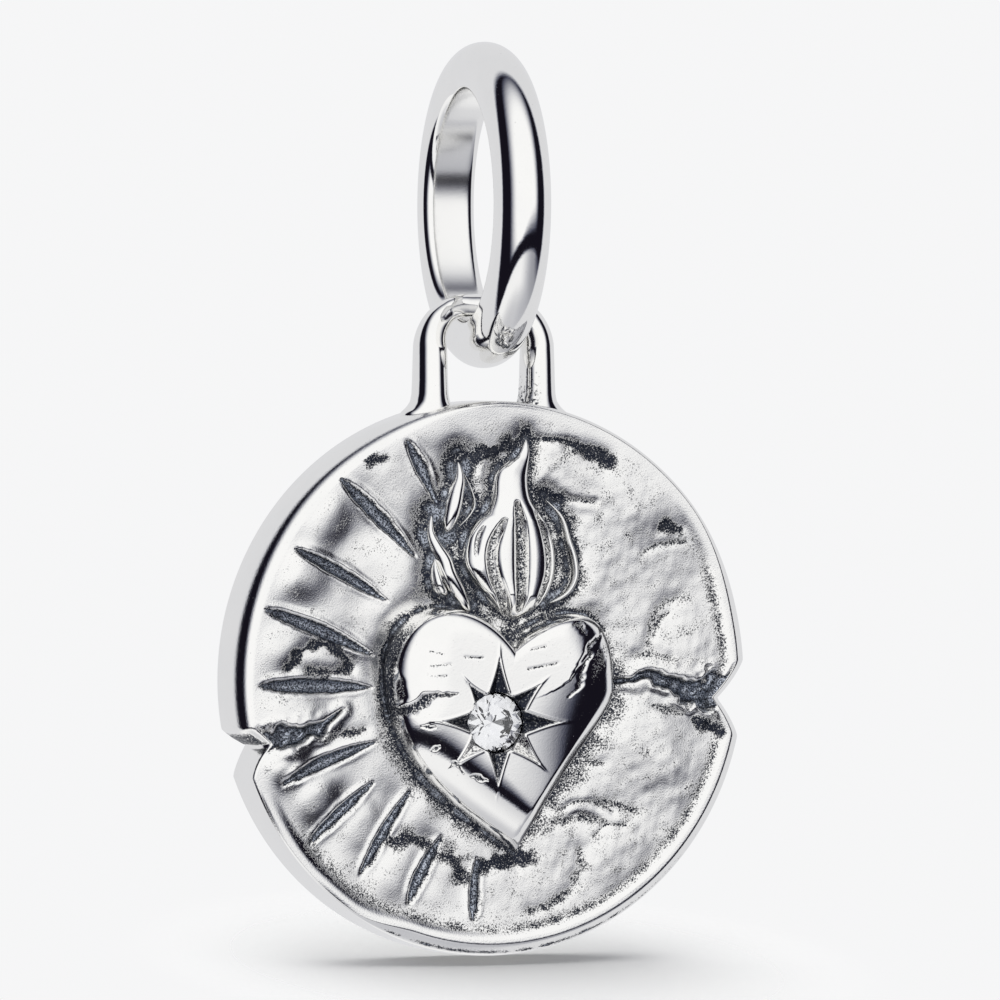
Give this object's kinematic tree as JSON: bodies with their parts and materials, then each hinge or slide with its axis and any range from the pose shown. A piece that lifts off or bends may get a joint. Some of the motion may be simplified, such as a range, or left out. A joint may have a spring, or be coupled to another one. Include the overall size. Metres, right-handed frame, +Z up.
{
  "type": "medallion charm",
  "caption": "Round silver charm: a broken medallion with a raised flaming heart, a clear stone in a star, engraved rays and a bail ring to hang from a chain.",
  "frame": {"origin": "centre of the bail ring's bore", "axes": "+Z up as the charm hangs, -Y out of the medallion's face, +X to the right of a viewer facing it"},
  "size_m": [0.0118, 0.007, 0.0196],
  "materials": {
    "silver_bright": "polished silver",
    "silver_antiqued": "hammered silver, dark in the recesses",
    "stone": "clear, cut and polished"
  },
  "bodies": {
    "bail": {"bail_ring": "silver_bright"},
    "medallion": {"hanging_loop": "silver_bright", "medallion_disc": "silver_antiqued", "heart": "silver_bright", "centre_flame": "silver_bright", "side_flames": "silver_bright", "stone": "stone"}
  },
  "joints": [
    {"name": "charm_swing", "type": "hinge", "parent": "bail", "child": "medallion", "pos_m": [0, 0, -0.00216], "axis": [1, 0, 0], "range_deg": [-52, 52]}
  ]
}
